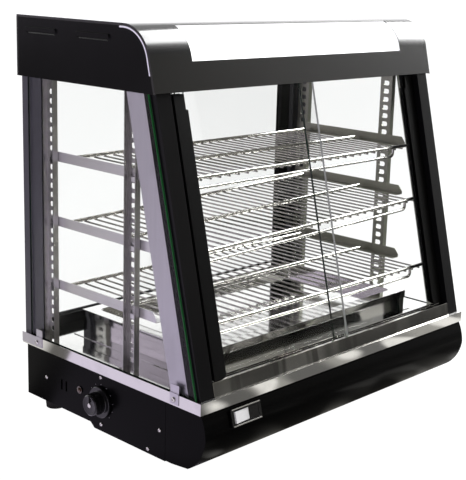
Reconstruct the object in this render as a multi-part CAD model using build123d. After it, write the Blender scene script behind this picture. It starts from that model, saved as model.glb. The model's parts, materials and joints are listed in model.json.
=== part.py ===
from build123d import *
import math
import os

# Hot food display case: a free-standing counter cabinet with a slanted glass front.
# Millimetres. X runs left to right, -Y is the customer's side, Z is up.
# The pieces are drawn about the middle of the deck's width, then moved together so that
# the origin is on the counter under the middle of the whole outline, knob included.

# ---------------------------------------------------------------- driving sizes
HALF_WIDTH = 330.0          # half the width over the deck rim and the light box
SIDE_X = 327.0              # outer face of the base side panels
DECK_FRONT = -211.0
DECK_REAR = 214.5
FOOT_HEIGHT = 22.0
BASE_FRONT_BOTTOM = 14.5    # the side panels hang lower at the front
PANEL_FRONT = -134.9        # just behind the apron's cheeks, with a hairline gap
PANEL_STEP_Y = 39.5         # where they slope up to the height of the feet
RIM_BOTTOM = 109.5
DECK_TOP = 127.5
CAP_BOTTOM = 551.0
CAP_TOP = 646.0
CAP_REAR = 219.0
CAP_BEND = 58.0             # radius of the light box's front edge
CAP_TANGENT_Y = -38.9       # where the flat top starts to curve down
SIGN_BOTTOM = 576.0         # lower edge of the lit sheet, just above the posts

FRONT_Y = -205.4            # slanted front plane where it meets the deck
LEAN = 0.2418               # how far the front goes back for each unit of height

SHEET = 1.2                 # folded sheet steel
PANE = 4.0                  # all glass

POST_INNER_X = 297.0
POST_OUTER_X = 324.2
POST_TOP = 570.0
PANE_TOP = 564.0

DOOR_GRIP_OUTER = 292.0     # outer edge of a closed door's grip, from the middle
DOOR_GRIP_WIDTH = 25.0
REAR_LEFT_GRIP_WIDTH = 12.0
DOOR_PANE_OUTER = 290.0
GRIP_TOP = 549.0
DOOR_LAP_LEFT = 18.0        # the left door reaches this far past the middle
DOOR_LAP_RIGHT = 10.0       # the right door reaches this far past the middle
TRACK_TOP = 148.0
TRACK_FLOOR = 131.0
NEAR_PANE = 5.0             # near track's pane, behind the face of the track
FAR_PANE = 11.0             # far track's pane, behind the face of the track

STANDARD_X = 302.0          # inner face of the shelf standards
STANDARD_YS = {"front": -33.5, "rear": 165.5}
STANDARD_WIDTH = 26.0
STANDARD_DEPTH = 10.0
HOLE_PITCH = 15.0
FIRST_HOLE = DECK_TOP + 11.3
HOLE_ROWS = 27

RAIL_HEIGHT = 16.0
RAIL_LEDGE = 16.0
RAIL_X = 300.0
RAIL_FRONT = -83.5
RAIL_REAR = 178.5
RAIL_UNDER_HOLE = 4.8       # ledge underside below the middle of its hook holes

THICK_WIRE = 6.0
THIN_WIRE = 3.0
STOP_WIRE = 5.0
SHELF_REAR = 148.5
SHELF_HALF = 290.0
WIRE_PITCH = 20.0
WIRES = 28
STOP_DROP = 16.0
STOP_HALF = 245.0
# each shelf: the hole row of its left rail, of its right rail, and its front edge
SHELVES = {
    "top": (19, 19, -98.0),
    "middle": (12, 13, -130.5),
    "bottom": (5, 5, -151.0),
}

COVER_HALF = 255.0
COVER_FRONT = -136.5
COVER_REAR = 151.5
COVER_TOP = 166.0

KNOB_Y = 13.5
KNOB_Z = 63.0
LAMP_Y = 66.0
LAMP_Z = 67.5
VENT_YS = (101.5, 113.5)
SWITCH_X = -244.0
SWITCH_Z = 92.0
SWITCH_TILT = -15.0
SCREW_HOLE = 3.4
# screws through each base side panel, as (Y, Z)
SIDE_SCREWS = [(153.5, 64.0), (13.5, 103.0), (12.5, 26.0), (-123.0, 60.0), (-97.5, 22.0)]
TO_ORIGIN = (9.2, 2.4, 0.0)  # from the middle of the deck to the middle of the outline


# ---------------------------------------------------------------- small helpers
def block(x0, x1, y0, y1, z0, z1):
    """A box given by its two corners."""
    size = (x1 - x0, y1 - y0, z1 - z0)
    centre = ((x0 + x1) / 2, (y0 + y1) / 2, (z0 + z1) / 2)
    return Pos(*centre) * Box(*size)


def rod(start, end, radius):
    """A round bar between two points."""
    axis = Vector(*end) - Vector(*start)
    plane = Plane(origin=start, z_dir=axis)
    return plane * Cylinder(radius, axis.length, align=(Align.CENTER, Align.CENTER, Align.MIN))


def yz_face(points):
    """A flat face in the YZ plane from (Y, Z) corners."""
    corners = [(0, y, z) for y, z in points]
    return make_face(Polyline(*corners, close=True))


def across(face, x0, x1):
    """A YZ face pulled along X from x0 to x1."""
    return Pos(x0, 0, 0) * extrude(face, amount=x1 - x0, dir=(1, 0, 0))


def front_y(z, back=0.0):
    """Y of the slanted front plane at a height, moved back by a distance."""
    return FRONT_Y + LEAN * (z - DECK_TOP) + back


def leaning(x0, x1, near, far, z0, z1):
    """A slab parallel to the slanted front, between two distances behind it."""
    corners = [
        (front_y(z0, near), z0),
        (front_y(z1, near), z1),
        (front_y(z1, far), z1),
        (front_y(z0, far), z0),
    ]
    return across(yz_face(corners), x0, x1)


def standing(x0, x1, near, far, z0, z1):
    """The same slab for the upright back of the case, measured in from its rear face."""
    return block(x0, x1, DECK_REAR - far, DECK_REAR - near, z0, z1)


def mirrored(shape):
    """The left-hand twin of a right-hand piece."""
    return mirror(shape, about=Plane.YZ)


def both_sides(shape):
    return shape + mirrored(shape)


def hole_z(row):
    return FIRST_HOLE + row * HOLE_PITCH


def save(name, *solids):
    """One STEP for one named piece, or for a group of identical ones."""
    placed = [Pos(*TO_ORIGIN) * solid for solid in solids]
    shape = placed[0] if len(placed) == 1 else Compound(children=placed)
    export_step(shape, f"parts/{name}.step")


# ---------------------------------------------------------------- base
def side_screw_holes():
    holes = [rod((-SIDE_X - 5, y, z), (-SIDE_X + 5, y, z), SCREW_HOLE / 2) for y, z in SIDE_SCREWS]
    return Compound(children=holes)


def base_side_panel():
    """Left side panel: a plate that slopes down lower at the front, with a folded bottom edge."""
    outline = [
        (PANEL_FRONT, BASE_FRONT_BOTTOM),
        (PANEL_STEP_Y - 9.5, BASE_FRONT_BOTTOM),
        (PANEL_STEP_Y, FOOT_HEIGHT),
        (206.0, FOOT_HEIGHT),
        (206.0, DECK_TOP - SHEET),
        (PANEL_FRONT, DECK_TOP - SHEET),
    ]
    plate = across(yz_face(outline), -SIDE_X, -SIDE_X + SHEET)
    fold = block(-SIDE_X, -SIDE_X + 14, PANEL_FRONT, PANEL_STEP_Y - 9.5,
                 BASE_FRONT_BOTTOM, BASE_FRONT_BOTTOM + SHEET)
    panel = plate + fold
    for y in VENT_YS:
        panel -= block(-SIDE_X - 1, -SIDE_X + 5, y - 2, y + 2, 54, 71)
    return panel - side_screw_holes()


def left_side_panel():
    panel = base_side_panel()
    panel -= rod((-SIDE_X - 1, KNOB_Y, KNOB_Z), (-SIDE_X + 5, KNOB_Y, KNOB_Z), 4.5)
    panel -= rod((-SIDE_X - 1, LAMP_Y, LAMP_Z), (-SIDE_X + 5, LAMP_Y, LAMP_Z), 4.1)
    return panel


def apron_outline():
    """Side view of the apron: upright at the rim, then bellying out and under."""
    return make_face([
        Line((0, -135.5, 126.3), (0, -208.6, 126.3)),
        Line((0, -208.6, 126.3), (0, -208.6, RIM_BOTTOM)),
        ThreePointArc((0, -208.6, RIM_BOTTOM), (0, -216.6, 90.0), (0, -219.3, 73.0)),
        ThreePointArc((0, -219.3, 73.0), (0, -207.5, 41.0), (0, -184.0, 19.5)),
        Line((0, -184.0, 19.5), (0, -150.0, 16.0)),
        Line((0, -150.0, 16.0), (0, -135.5, 16.0)),
        Line((0, -135.5, 16.0), (0, -135.5, 126.3)),
    ])


def switch_place():
    """Frame of the light switch: its middle on the apron, facing the customer."""
    return Pos(SWITCH_X, -217.2, SWITCH_Z) * Rot(X=90 + SWITCH_TILT)


def front_apron():
    """Curved front sheet with its two side cheeks, open at the back and top."""
    outer = across(apron_outline(), -SIDE_X, SIDE_X)
    hollow = offset(apron_outline(), amount=-SHEET)
    inner = across(hollow, -SIDE_X + SHEET, SIDE_X - SHEET)
    rear_open = block(-SIDE_X + SHEET, SIDE_X - SHEET, -152, -130, 16 + SHEET, 130)
    top_open = block(-SIDE_X + SHEET, SIDE_X - SHEET, -208.6 + SHEET, -130, 100, 130)
    apron = outer - inner - rear_open - top_open
    return apron - switch_place() * Box(56, 21, 30)


def rear_panel():
    """Upright back sheet of the base with louvre slots and the cable gland's hole."""
    panel = block(-SIDE_X + SHEET, SIDE_X - SHEET, 204.8, 206.0, FOOT_HEIGHT, DECK_TOP - SHEET)
    for index in range(12):
        x = -60 + index * 16
        panel -= block(x - 3, x + 3, 200, 210, 45, 85)
    return panel - rod((-230, 200, 60), (-230, 210, 60), 8.05)


def base_pan():
    """Bottom sheet with low upturned edges, foot bolt holes and vent slots."""
    inner_x = SIDE_X - SHEET
    pan = block(-inner_x, inner_x, -133, 204.8, FOOT_HEIGHT, FOOT_HEIGHT + 14)
    pan -= block(-inner_x + SHEET, inner_x - SHEET, -133 + SHEET, 204.8 - SHEET,
                 FOOT_HEIGHT + SHEET, FOOT_HEIGHT + 20)
    for y, z in SIDE_SCREWS:
        pan -= rod((-inner_x - 1, y, z), (-inner_x + 12, y, z), SCREW_HOLE / 2)
        pan -= rod((inner_x + 1, y, z), (inner_x - 12, y, z), SCREW_HOLE / 2)
    for index in range(9):
        x = -120 + index * 30
        pan -= block(x - 3, x + 3, -30, 90, FOOT_HEIGHT - 5, FOOT_HEIGHT + 5)
    for x, y in foot_places():
        pan -= rod((x, y, FOOT_HEIGHT - 5), (x, y, FOOT_HEIGHT + 5), 2.6)
    return pan


def foot_places():
    return [(-285, -105), (285, -105), (-296, 172), (296, 172)]


def rubber_foot(x, y):
    """Tapered round rubber foot with a screw recess, and its screw."""
    foot = Pos(x, y, 0) * Cone(15.5, 18.0, FOOT_HEIGHT, align=(Align.CENTER, Align.CENTER, Align.MIN))
    foot -= rod((x, y, -1), (x, y, 12), 6.0)
    foot -= rod((x, y, 5), (x, y, FOOT_HEIGHT + 1), 2.6)
    return foot


def foot_screw(x, y):
    head = rod((x, y, 8.8), (x, y, 12), 5.0)
    return head + rod((x, y, 11), (x, y, FOOT_HEIGHT + 10), 2.5)


def deck_plate():
    """Polished floor of the cabinet, with an 18 mm rim folded down all round."""
    deck = block(-HALF_WIDTH, HALF_WIDTH, DECK_FRONT, DECK_REAR, RIM_BOTTOM, DECK_TOP)
    deck -= block(-HALF_WIDTH + SHEET, HALF_WIDTH - SHEET, DECK_FRONT + SHEET, DECK_REAR - SHEET,
                  RIM_BOTTOM - 1, DECK_TOP - SHEET)
    for x in (-210, 210):
        deck -= rod((x, 100, 120), (x, 100, 130), 7.0)
    deck -= rod((-170, -60, 120), (-170, -60, 130), 3.0)
    for x, y in clip_screw_places():
        deck -= rod((x * (HALF_WIDTH - 5), y, 119), (x * (HALF_WIDTH + 5), y, 119), SCREW_HOLE / 2)
    return deck


# ---------------------------------------------------------------- door tracks
def track(slab, height):
    """Two-groove door track: a hollow nose, then a groove for each door."""
    reach = POST_INNER_X - 0.2
    body = slab(-reach, reach, 0, 17.2, DECK_TOP, height)
    body -= slab(-reach - 1, reach + 1, NEAR_PANE - 0.5, NEAR_PANE + PANE + 0.5, TRACK_FLOOR, height + 5)
    body -= slab(-reach - 1, reach + 1, FAR_PANE - 0.5, FAR_PANE + PANE + 0.5, TRACK_FLOOR, height + 5)
    return body - slab(-reach - 1, reach + 1, 1.0, 3.5, DECK_TOP + 1, height - 1)


def top_track(slab):
    """Inverted two-groove guide that holds the top edges of the panes."""
    reach = POST_INNER_X - 0.2
    body = slab(-reach, reach, 3.5, 16.5, 553.5, POST_TOP)
    body -= slab(-reach - 1, reach + 1, NEAR_PANE - 0.5, NEAR_PANE + PANE + 0.5, 550, 567)
    return body - slab(-reach - 1, reach + 1, FAR_PANE - 0.5, FAR_PANE + PANE + 0.5, 550, 567)


# ---------------------------------------------------------------- posts and glass
def front_post():
    """Right front post: face, outer flange and inner return of one folded sheet."""
    face = leaning(POST_INNER_X, POST_OUTER_X, 0, SHEET, DECK_TOP, POST_TOP)
    outer = leaning(POST_OUTER_X - SHEET, POST_OUTER_X, 0, 26, DECK_TOP, POST_TOP)
    inner = leaning(POST_INNER_X, POST_INNER_X + SHEET, 0, 26, DECK_TOP, POST_TOP)
    return face + outer + inner


def rear_post():
    """Right rear post: a deeper side flange stands inside the side glass."""
    face = standing(POST_INNER_X, POST_OUTER_X, 0, SHEET, DECK_TOP, POST_TOP)
    outer = standing(POST_OUTER_X - SHEET, POST_OUTER_X, 0, 50, DECK_TOP, POST_TOP)
    inner = standing(POST_INNER_X, POST_INNER_X + SHEET, 0, 26, DECK_TOP, POST_TOP)
    return face + outer + inner


def inner_frame():
    """Right inner strip behind the front post, with a fold that closes the door pocket."""
    x = POST_OUTER_X - SHEET
    strip = leaning(x - SHEET, x, 27, 65, DECK_TOP, CAP_BOTTOM)
    fold = leaning(POST_INNER_X + 2, x, 27, 27 + SHEET, DECK_TOP, CAP_BOTTOM)
    return strip + fold


def side_glass():
    """Right side pane: it stands on the deck outside the posts."""
    top = 560.0
    outline = [
        (front_y(DECK_TOP, 6.5), DECK_TOP),
        (front_y(top, 12.2), top),
        (193.7, top),
        (193.7, DECK_TOP),
    ]
    return across(yz_face(outline), POST_OUTER_X + 0.4, POST_OUTER_X + 0.4 + PANE)


def clip_screw_places():
    """Side (-1 or 1) and Y of each glass clip's screw."""
    return [(side, y) for side in (-1, 1) for y in (-156.0, 174.0)]


def glass_clip(y0, y1, tab0, tab1, screw_y):
    """Right-hand clip: a plate on the rim with a tab that leans in over the glass."""
    plate = block(HALF_WIDTH, HALF_WIDTH + SHEET, y0, y1, 112, 128.5)
    step = block(HALF_WIDTH - 1.2, HALF_WIDTH + SHEET, tab0, tab1, 127.6, 129.2)
    tab = block(HALF_WIDTH - 1.2, HALF_WIDTH, tab0, tab1, 127.6, 141.5)
    clip = plate + step + tab
    return clip - rod((HALF_WIDTH - 5, screw_y, 119), (HALF_WIDTH + 5, screw_y, 119), SCREW_HOLE / 2)


def screw(x, y, z, direction, shank=8.0):
    """Pan-head screw whose head sits on a face at x, looking out along direction."""
    head = rod((x, y, z), (x + direction * 2.4, y, z), 3.6)
    outer_edge = head.faces().sort_by(Axis.X)[-1 if direction > 0 else 0].edges()
    head = fillet(outer_edge, 1.4)
    return head + rod((x + direction, y, z), (x - direction * shank, y, z), 1.55)


# ---------------------------------------------------------------- shelves
def standard(y):
    """Right shelf standard: a channel with a row of hook holes in its web."""
    half = STANDARD_WIDTH / 2
    outer = STANDARD_X + STANDARD_DEPTH
    bar = block(STANDARD_X, outer, y - half, y + half, DECK_TOP, CAP_BOTTOM)
    bar -= block(STANDARD_X + SHEET, outer + 1, y - half + SHEET, y + half - SHEET,
                 DECK_TOP - 1, CAP_BOTTOM + 1)
    window = Plane(origin=(STANDARD_X - 2, y, 0), x_dir=(0, 1, 0), z_dir=(1, 0, 0))
    for row in range(HOLE_ROWS):
        slot = window * Pos(0, hole_z(row)) * RectangleRounded(12.5, 8.5, 3.2)
        bar -= extrude(slot, amount=5, dir=(1, 0, 0))
    return bar


def rail(row):
    """Right shelf rail: an angle with a cut-back front corner and two hooks."""
    bottom = hole_z(row) - RAIL_UNDER_HOLE
    top = bottom + RAIL_HEIGHT
    flange = across(yz_face([
        (RAIL_FRONT, bottom),
        (RAIL_FRONT, top - 10),
        (RAIL_FRONT + 8, top),
        (RAIL_REAR, top),
        (RAIL_REAR, bottom),
    ]), RAIL_X, RAIL_X + SHEET)
    angle = flange + block(RAIL_X - RAIL_LEDGE, RAIL_X + SHEET, RAIL_FRONT, RAIL_REAR,
                           bottom, bottom + SHEET)
    for y in STANDARD_YS.values():
        z = hole_z(row)
        neck = block(RAIL_X + SHEET, STANDARD_X + SHEET + 2.4, y - 4, y + 4, z - 3.4, z - 1.0)
        tongue = block(STANDARD_X + SHEET + 0.3, STANDARD_X + SHEET + 2.4, y - 4, y + 4, z - 8.5, z - 1.0)
        angle = angle + neck + tongue
    return angle


def wire_shelf(front):
    """Lift-out shelf: three thick cross wires, thin wires welded under them, a front stop."""
    middle = (front + SHELF_REAR) / 2
    shelf = None
    for y in (front, middle, SHELF_REAR):
        bar = rod((-SHELF_HALF, y, 0), (SHELF_HALF, y, 0), THICK_WIRE / 2)
        shelf = bar if shelf is None else shelf + bar
    under = -(THICK_WIRE + THIN_WIRE) / 2 + 0.6
    first = -WIRE_PITCH * (WIRES - 1) / 2
    thin = [
        rod((first + index * WIRE_PITCH, front - 2, under),
            (first + index * WIRE_PITCH, SHELF_REAR + 2, under), THIN_WIRE / 2)
        for index in range(WIRES)
    ]
    path = FilletPolyline(
        (-STOP_HALF, front, 0),
        (-STOP_HALF, front, -STOP_DROP),
        (STOP_HALF, front, -STOP_DROP),
        (STOP_HALF, front, 0),
        radius=7.0,
    )
    section = Plane(origin=path @ 0, z_dir=path % 0) * Circle(STOP_WIRE / 2)
    stop = sweep(section, path=path)
    return shelf.fuse(*thin, stop)


def placed_shelf(name):
    """A shelf resting on its two rails, tilted where they hang in different hole rows."""
    left_row, right_row, front = SHELVES[name]
    left_z = hole_z(left_row) - RAIL_UNDER_HOLE + SHEET + THICK_WIRE / 2
    right_z = hole_z(right_row) - RAIL_UNDER_HOLE + SHEET + THICK_WIRE / 2
    tilt = math.degrees(math.atan2(right_z - left_z, 2 * SHELF_HALF - 6))
    lift = 0.02 if left_row == right_row else 0.12
    return Pos(0, 0, (left_z + right_z) / 2 + lift) * Rot(Y=-tilt) * wire_shelf(front)


# ---------------------------------------------------------------- heat and water
def heater_cover():
    """Polished box over the heating element, open at the top, with screwed-down flanges."""
    wall = COVER_HALF - SHEET
    front = COVER_FRONT + SHEET
    rear = COVER_REAR - SHEET
    cover = block(-wall, wall, front, rear, DECK_TOP, COVER_TOP - SHEET)
    cover -= block(-wall + SHEET, wall - SHEET, front + SHEET, rear - SHEET, DECK_TOP - 1, COVER_TOP)
    flange = block(wall - SHEET, wall + 20, front, rear, DECK_TOP, DECK_TOP + SHEET)
    cover += both_sides(flange)
    for index in range(14):
        x = -195 + index * 30
        cover -= block(x - 9, x + 9, rear - 4, rear + 4, 138, 142)
    return cover


def water_pan():
    """Lift-out pan: a sunk floor, a broad rim and a lip turned down over the cover."""
    lip = block(-COVER_HALF, COVER_HALF, COVER_FRONT, COVER_REAR, COVER_TOP - 12, COVER_TOP)
    lip -= block(-COVER_HALF + SHEET, COVER_HALF - SHEET, COVER_FRONT + SHEET, COVER_REAR - SHEET,
                 COVER_TOP - 13, COVER_TOP - SHEET)
    x = COVER_HALF - 18
    y0 = COVER_FRONT + 18
    y1 = COVER_REAR - 18
    well = block(-x, x, y0, y1, COVER_TOP - 18, COVER_TOP)
    well = fillet(well.edges().filter_by(Axis.Z), 12)
    hollow = block(-x + SHEET, x - SHEET, y0 + SHEET, y1 - SHEET, COVER_TOP - 18 + SHEET, COVER_TOP + 1)
    hollow = fillet(hollow.edges().filter_by(Axis.Z), 12 - SHEET)
    return (lip + well) - hollow


def heating_element():
    """Tubular element bent into a W under the pan, its two ends going down through the deck."""
    z = 138.0
    path = FilletPolyline(
        (-210, 100, 102),
        (-210, 100, z),
        (-210, -95, z),
        (-70, -95, z),
        (-70, 100, z),
        (70, 100, z),
        (70, -95, z),
        (210, -95, z),
        (210, 100, z),
        (210, 100, 102),
        radius=14,
    )
    section = Plane(origin=path @ 0, z_dir=path % 0) * Circle(4)
    return sweep(section, path=path)


def element_bush(x):
    """Stepped ceramic bush around one end of the element, in its deck hole."""
    bush = rod((x, 100, 112), (x, 100, DECK_TOP + 1), 6.95) + rod((x, 100, 112), (x, 100, 126.3), 10)
    return bush - rod((x, 100, 100), (x, 100, 140), 4.05)


def thermostat():
    """Thermostat body with a threaded nose, its capillary and its bulb under the cover."""
    body = block(-322, -292, KNOB_Y - 18, KNOB_Y + 18, KNOB_Z - 18, KNOB_Z + 18)
    body += rod((-325.8, KNOB_Y, KNOB_Z), (-322, KNOB_Y, KNOB_Z), 12)
    body += rod((-327.6, KNOB_Y, KNOB_Z), (-325.8, KNOB_Y, KNOB_Z), 4.4)
    body -= rod((-335, KNOB_Y, KNOB_Z), (-300, KNOB_Y, KNOB_Z), 3.05)
    path = FilletPolyline(
        (-300, 0, KNOB_Z + 17),
        (-300, 0, 104),
        (-300, -60, 104),
        (-170, -60, 104),
        (-170, -60, 134),
        (-170, -20, 134),
        radius=8,
    )
    section = Plane(origin=path @ 0, z_dir=path % 0) * Circle(1.2)
    capillary = sweep(section, path=path)
    bulb = rod((-170, -22, 134), (-170, 60, 134), 3.2)
    return body + capillary + bulb


def thermostat_shaft():
    """Turning shaft of the thermostat, with a flat on the part that carries the knob."""
    shaft = rod((-347, KNOB_Y, KNOB_Z), (-302, KNOB_Y, KNOB_Z), 3.0)
    return shaft - block(-348, -333, KNOB_Y - 4, KNOB_Y + 4, KNOB_Z + 1.8, KNOB_Z + 5)


def thermostat_knob():
    """Skirted round knob with a dished face and a small index rib, bored for the flatted shaft."""
    skirt = rod((-328.2, KNOB_Y, KNOB_Z), (-332.2, KNOB_Y, KNOB_Z), 25)
    skirt = fillet(skirt.faces().sort_by(Axis.X)[0].edges(), 1.5)
    drum = rod((-332.2, KNOB_Y, KNOB_Z), (-351, KNOB_Y, KNOB_Z), 17.8)
    drum = fillet(drum.faces().sort_by(Axis.X)[0].edges(), 3.0)
    drum -= rod((-352, KNOB_Y, KNOB_Z), (-349.6, KNOB_Y, KNOB_Z), 12.5)
    rib = block(-352, -349, KNOB_Y - 1.4, KNOB_Y + 1.4, KNOB_Z + 4, KNOB_Z + 14.5)
    knob = skirt + drum + rib
    bore = rod((-347.2, KNOB_Y, KNOB_Z), (-320, KNOB_Y, KNOB_Z), 3.0)
    bore -= block(-348, -333, KNOB_Y - 4, KNOB_Y + 4, KNOB_Z + 1.8, KNOB_Z + 5)
    return knob - bore


def indicator_lamp():
    """Neon lamp: a bezel and a domed lens outside, the holder inside the panel."""
    bezel = rod((-SIDE_X, LAMP_Y, LAMP_Z), (-SIDE_X - 1.6, LAMP_Y, LAMP_Z), 6)
    holder = rod((-SIDE_X - 1, LAMP_Y, LAMP_Z), (-SIDE_X + 22, LAMP_Y, LAMP_Z), 4.0)
    lens = Pos(-SIDE_X - 1.0, LAMP_Y, LAMP_Z) * Sphere(4.2)
    lens &= block(-SIDE_X - 8, -SIDE_X - 1.0, LAMP_Y - 6, LAMP_Y + 6, LAMP_Z - 6, LAMP_Z + 6)
    return bezel + holder + lens


def switch_housing():
    """Light switch body with a bright rectangular bezel; its window holds the rocker."""
    bezel = Pos(0, 0, 1.2) * Box(62, 27, 2.4)
    bezel = fillet(bezel.edges().filter_by(Axis.Z), 2.0)
    body = Pos(0, 0, -14) * Box(55.6, 20.6, 28)
    window = Pos(0, 0, -6) * Box(51, 17.6, 24)
    pins = Pos(0, -10.5, -9) * rod((0, 0, 0), (0, 1.9, 0), 1.4)
    pins += Pos(0, 8.6, -9) * rod((0, 0, 0), (0, 1.9, 0), 1.4)
    return switch_place() * (bezel + body - window + pins)


def switch_rocker():
    """Rocker cap: two faces meeting in a shallow valley, turning on short pins."""
    outline = [(-24.1, 4.6), (0, 1.4), (24.1, 3.0), (24.1, -3.0), (5, -12.5), (-5, -12.5), (-24.1, -3.0)]
    corners = [(x, 0, z) for x, z in outline]
    cap = extrude(make_face(Polyline(*corners, close=True)), amount=8.4, both=True, dir=(0, 1, 0))
    bore = rod((0, -10, -9), (0, 10, -9), 1.45)
    return switch_place() * (cap - bore)


def cable_gland():
    """Moulded gland in the rear panel where the mains lead goes in."""
    body = rod((-230, 203, 60), (-230, 206, 60), 8.0) + rod((-230, 206, 60), (-230, 209, 60), 12)
    nut = Plane(origin=(-230, 209, 60), z_dir=(0, 1, 0)) * RegularPolygon(10.5, 6)
    body += extrude(nut, amount=5, dir=(0, 1, 0))
    body += rod((-230, 196, 60), (-230, 204.8, 60), 8.0) + rod((-230, 200, 60), (-230, 204.8, 60), 11)
    return body - rod((-230, 190, 60), (-230, 220, 60), 3.6)


def terminal_block():
    """Three-way terminal block on the base pan."""
    z = FOOT_HEIGHT + SHEET
    body = block(-205, -160, 120, 142, z, z + 18)
    for index in range(3):
        x = -197 + index * 14.5
        body -= rod((x, 131, z + 10), (x, 131, z + 20), 3)
        body -= rod((x, 115, z + 6), (x, 150, z + 6), 2)
    return body


# ---------------------------------------------------------------- light box
def cap_face(inset):
    """Side view of the light box, shrunk by a distance on the top, back and curve."""
    radius = CAP_BEND - inset
    centre_z = CAP_TOP - CAP_BEND
    normal = math.hypot(1, LEAN)
    tangent_y = CAP_TANGENT_Y - radius / normal
    tangent_z = centre_z + radius * LEAN / normal
    foot_y = tangent_y - LEAN * (tangent_z - CAP_BOTTOM)
    middle_angle = math.pi * 0.75 - math.atan(LEAN) / 2
    middle_y = CAP_TANGENT_Y + radius * math.cos(middle_angle)
    middle_z = centre_z + radius * math.sin(middle_angle)
    top = CAP_TOP - inset
    rear = CAP_REAR - inset
    return make_face([
        Line((0, foot_y, CAP_BOTTOM), (0, rear, CAP_BOTTOM)),
        Line((0, rear, CAP_BOTTOM), (0, rear, top)),
        Line((0, rear, top), (0, CAP_TANGENT_Y, top)),
        ThreePointArc((0, CAP_TANGENT_Y, top), (0, middle_y, middle_z), (0, tangent_y, tangent_z)),
        Line((0, tangent_y, tangent_z), (0, foot_y, CAP_BOTTOM)),
    ])


def sign_band(x, outer_inset, inner_inset):
    """The curved band that the lit sheet fills, from the flat top to the lower front."""
    band = across(cap_face(outer_inset), -x, x) - across(cap_face(inner_inset), -x - 1, x + 1)
    band -= block(-x - 1, x + 1, -30.0, 300, 500, 700)
    return band - block(-x - 1, x + 1, -200, 300, 500, SIGN_BOTTOM)


def top_cover():
    """Outer sheet of the light box with a sign window and a narrow lip at each end."""
    shell = across(cap_face(0), -HALF_WIDTH, HALF_WIDTH)
    shell -= across(cap_face(SHEET), -HALF_WIDTH + SHEET, HALF_WIDTH - SHEET)
    shell -= across(cap_face(4.2), -HALF_WIDTH - 1, HALF_WIDTH + 1)
    shell -= block(-HALF_WIDTH + SHEET, HALF_WIDTH - SHEET, -130, 217.8, 540, CAP_BOTTOM + SHEET)
    return shell - block(-250, 250, -130, -56.5, 594, 660)


def louvre(y, outward):
    """A pressed louvre on the left end panel: a low raised pocket, open at its lower edge."""
    face = Plane(origin=(-HALF_WIDTH, y, 624.5), x_dir=(0, 1, 0), z_dir=(-1, 0, 0))
    if outward:
        return extrude(face * RectangleRounded(80, 10, 4.5), amount=2.6, taper=35)
    pocket = extrude(face.offset(-2) * RectangleRounded(79, 9, 4.2), amount=3.6, taper=25)
    mouth = block(-HALF_WIDTH - 1.6, -HALF_WIDTH + 2, y - 34, y + 34, 618.5, 622)
    return pocket + mouth


def end_panel():
    """Left end of the light box with two louvres."""
    panel = across(cap_face(4.2), -HALF_WIDTH, -HALF_WIDTH + 1.0)
    panel -= sign_band(HALF_WIDTH + 1, 4.2, 6.9)
    for y in (154.5, 29.0):
        panel = panel + louvre(y, True) - louvre(y, False)
    return panel


def ceiling_panel():
    """Bright cabinet ceiling, cut back at its corners around the posts and inner frames."""
    panel = block(-322.5, 322.5, -84, 196, 552, 552 + SHEET)
    for x0, x1 in ((-330, -296), (296, 330)):
        panel -= block(x0, x1, -90, -36, 545, 560)
        panel -= block(x0, x1, 160, 200, 545, 560)
    for index in range(9):
        x = -200 + index * 50
        panel -= block(x - 18, x + 18, -60, -54, 545, 560)
    return panel


def lamp_tube():
    """Linear lamp behind the sign, with a cap at each end."""
    tube = rod((-262, -45, 600), (262, -45, 600), 8)
    return tube + both_sides(rod((262, -45, 600), (270, -45, 600), 8.4))


def lamp_holder():
    """Right lamp holder on its bracket."""
    holder = block(270, 282, -57, -33, 586, 614)
    return holder + block(270, 296, -57, -33, 552 + SHEET, 554.4) + block(279, 282, -57, -33, 554, 590)


# ---------------------------------------------------------------- doors
def pane(slab, x0, x1, near):
    """A door pane standing in its groove."""
    return slab(x0, x1, near, near + PANE, TRACK_FLOOR + 0.3, PANE_TOP)


def grip(slab, outer_x, inner_x, near, far, pane_near):
    """Full-height edge grip on a door's outer upright edge, slotted for the pane."""
    low, high = min(outer_x, inner_x), max(outer_x, inner_x)
    bar = slab(low, high, near, far, TRACK_TOP + 0.5, GRIP_TOP)
    notch = 4.0 if inner_x > outer_x else -4.0
    notch_low, notch_high = min(inner_x, inner_x - notch), max(inner_x, inner_x - notch)
    bar -= slab(notch_low, notch_high, near - 1, far + 1, GRIP_TOP - 22, GRIP_TOP + 6)
    lower = bar.edges().filter_by(lambda edge: abs(edge.center().X - inner_x) < 0.01
                                  and edge.center().Z < TRACK_TOP + 3 and edge.length < 30)
    bar = fillet(lower, 8.0)
    edge_x = DOOR_PANE_OUTER if outer_x > 0 else -DOOR_PANE_OUTER
    slot_low, slot_high = min(edge_x, inner_x), max(edge_x, inner_x)
    return bar - slab(slot_low, slot_high, pane_near, pane_near + PANE, TRACK_TOP - 5, 560)


def door_pieces(prefix, slab, left_width=DOOR_GRIP_WIDTH):
    """The two sliding doors on one side of the case: left on the near track, right on the far."""
    inner = DOOR_GRIP_OUTER - DOOR_GRIP_WIDTH
    left_pane = pane(slab, -DOOR_PANE_OUTER, DOOR_LAP_LEFT, NEAR_PANE)
    right_pane = pane(slab, -DOOR_LAP_RIGHT, DOOR_PANE_OUTER, FAR_PANE)
    left_inner = DOOR_GRIP_OUTER - left_width
    left_grip = grip(slab, -DOOR_GRIP_OUTER, -left_inner, 0.5, 10.2, NEAR_PANE)
    right_grip = grip(slab, DOOR_GRIP_OUTER, inner, 9.8, 22.0, FAR_PANE)
    save(prefix + "_left_door_glass", left_pane)
    save(prefix + "_right_door_glass", right_pane)
    save(prefix + "_left_door_grip", left_grip)
    save(prefix + "_right_door_grip", right_grip)


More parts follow.
